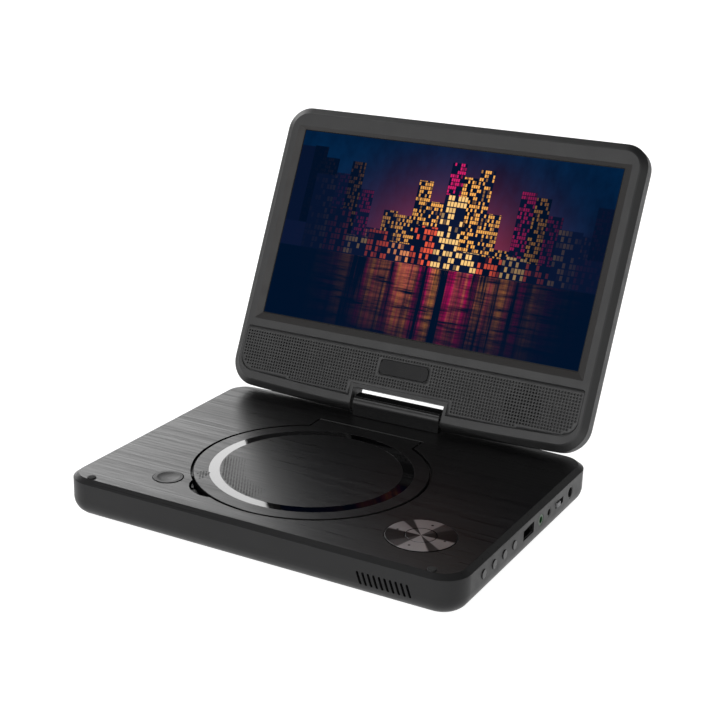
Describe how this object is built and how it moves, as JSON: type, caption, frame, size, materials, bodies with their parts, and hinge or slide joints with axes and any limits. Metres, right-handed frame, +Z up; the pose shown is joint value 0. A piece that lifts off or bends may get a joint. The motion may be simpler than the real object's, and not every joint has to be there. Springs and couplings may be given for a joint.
{
  "type": "portable disc player",
  "caption": "Portable disc player with a hinged disc door, a control pad on its deck and a wide screen on a hinge that tilts and swivels to fold flat.",
  "frame": {"origin": "centre of the case's flat underside, between the feet, at the underside's plane", "axes": "+X to the user's right along the case's width, +Y to the back where the screen hinge is, +Z up"},
  "size_m": [0.2257, 0.2346, 0.1804],
  "materials": {
    "case_plastic": "fine matt texture",
    "deck_brushed": "fine brushed lines along the width, satin",
    "bezel_plastic": "satin",
    "well_plastic": "matt black",
    "hinge_gloss": "glossy",
    "ring_gloss": "piano black",
    "badge_gloss": "glossy, blank",
    "pad_metal": "radially brushed, dark",
    "rubber": "matt",
    "side_keys": "glossy",
    "switch_knob": "satin grey",
    "jack_green": "green",
    "jack_black": "black",
    "battery_wrap": "heat-shrunk wrap",
    "circuit_board": "solder mask",
    "plated_steel": "zinc plated",
    "bright_steel": "ground",
    "screw_steel": "black oxide",
    "brass_posts": "turned",
    "pickup_metal": "die cast",
    "lens_glass": "clear",
    "window_glass": "glossy cover with a black border",
    "lcd_picture": "lit picture",
    "speaker_cone": "paper cone"
  },
  "bodies": {
    "case": {"bottom_case": "case_plastic", "top_deck": "deck_brushed", "disc_well": "well_plastic", "rubber_feet": "rubber", "lid_bumpers": "rubber", "case_screws": "screw_steel", "battery_pack": "battery_wrap", "main_board": "circuit_board", "board_posts": "brass_posts", "usb_socket": "plated_steel", "headphone_jack": "jack_green", "av_jack": "jack_black", "dc_jack": "jack_black", "power_switch_body": "well_plastic", "side_key_board": "circuit_board", "nav_key_board": "circuit_board", "loader_chassis": "plated_steel", "loader_dampers": "rubber", "loader_screws": "screw_steel", "guide_rods": "bright_steel", "spindle_motor": "plated_steel", "motor_mount": "plated_steel", "sled_motor": "plated_steel", "swivel_bush": "bright_steel"},
    "disc_door": {"door_panel": "deck_brushed", "door_ring": "ring_gloss", "door_pins": "bright_steel"},
    "open_button": {"open_button": "deck_brushed"},
    "door_latch": {"door_latch": "well_plastic"},
    "nav_ring": {"nav_ring": "pad_metal"},
    "ok_button": {"ok_button": "pad_metal"},
    "side_button_1": {"side_button_1": "side_keys"},
    "side_button_2": {"side_button_2": "side_keys"},
    "side_button_3": {"side_button_3": "side_keys"},
    "side_button_4": {"side_button_4": "side_keys"},
    "power_switch": {"power_switch": "switch_knob"},
    "spindle": {"spindle_shaft": "bright_steel", "spindle_hub": "well_plastic"},
    "pickup": {"pickup_body": "pickup_metal", "pickup_lens": "lens_glass"},
    "lead_screw": {"lead_screw": "bright_steel"},
    "swivel": {"swivel_neck": "hinge_gloss", "swivel_clip": "plated_steel", "barrel_lower": "hinge_gloss", "barrel_upper": "hinge_gloss", "hinge_bracket": "plated_steel", "hinge_pins": "bright_steel"},
    "screen": {"lid_rear_cover": "case_plastic", "lid_bezel": "bezel_plastic", "speaker_grille": "bezel_plastic", "badge_plate": "badge_gloss", "display_window": "window_glass", "lcd_panel": "lcd_picture", "display_board": "circuit_board", "speakers": "speaker_cone", "lid_screws": "screw_steel", "hinge_lugs": "plated_steel"}
  },
  "joints": [
    {"name": "swivel_turn", "type": "hinge", "parent": "case", "child": "swivel", "pos_m": [0, 0.0763, 0.0215], "axis": [0, 0, 1], "range_deg": [0, 180]},
    {"name": "screen_tilt", "type": "hinge", "parent": "swivel", "child": "screen", "pos_m": [0, 0.0763, 0.0289], "axis": [1, 0, 0], "range_deg": [-65, 115]},
    {"name": "door_lift", "type": "hinge", "parent": "case", "child": "disc_door", "pos_m": [-0.0075, 0.0529, 0.02], "axis": [-1, 0, 0], "range_deg": [0, 70]},
    {"name": "open_press", "type": "slide", "parent": "case", "child": "open_button", "axis": [0, 0, -1], "range_m": [0, 0.0008], "stiffness_N_per_m": 300},
    {"name": "latch_draw", "type": "slide", "parent": "case", "child": "door_latch", "axis": [-0.7616, -0.648, 0], "range_m": [0, 0.0016]},
    {"name": "nav_press", "type": "slide", "parent": "case", "child": "nav_ring", "axis": [0, 0, -1], "range_m": [0, 0.0005], "stiffness_N_per_m": 400},
    {"name": "ok_press", "type": "slide", "parent": "case", "child": "ok_button", "axis": [0, 0, -1], "range_m": [0, 0.0005], "stiffness_N_per_m": 400},
    {"name": "side_press_1", "type": "slide", "parent": "case", "child": "side_button_1", "axis": [-1, 0, 0], "range_m": [0, 0.0005], "stiffness_N_per_m": 300},
    {"name": "side_press_2", "type": "slide", "parent": "case", "child": "side_button_2", "axis": [-1, 0, 0], "range_m": [0, 0.0005], "stiffness_N_per_m": 300},
    {"name": "side_press_3", "type": "slide", "parent": "case", "child": "side_button_3", "axis": [-1, 0, 0], "range_m": [0, 0.0005], "stiffness_N_per_m": 300},
    {"name": "side_press_4", "type": "slide", "parent": "case", "child": "side_button_4", "axis": [-1, 0, 0], "range_m": [0, 0.0005], "stiffness_N_per_m": 300},
    {"name": "power_slide", "type": "slide", "parent": "case", "child": "power_switch", "axis": [0, 1, 0], "range_m": [0, 0.0038]},
    {"name": "spindle_spin", "type": "hinge", "parent": "case", "child": "spindle", "pos_m": [-0.0075, -0.0095, 0.016], "axis": [0, 0, 1], "continuous": true},
    {"name": "pickup_travel", "type": "slide", "parent": "case", "child": "pickup", "axis": [0, -1, 0], "range_m": [-0.005, 0.0275]},
    {"name": "lead_screw_turn", "type": "hinge", "parent": "case", "child": "lead_screw", "pos_m": [0.019, -0.0395, 0.0074], "axis": [0, -1, 0], "continuous": true}
  ],
  "couplings": [
    {"joint": "latch_draw", "follows": "open_press", "ratio": 2},
    {"joint": "lead_screw_turn", "follows": "pickup_travel", "rad_per_m": 4188.8}
  ]
}
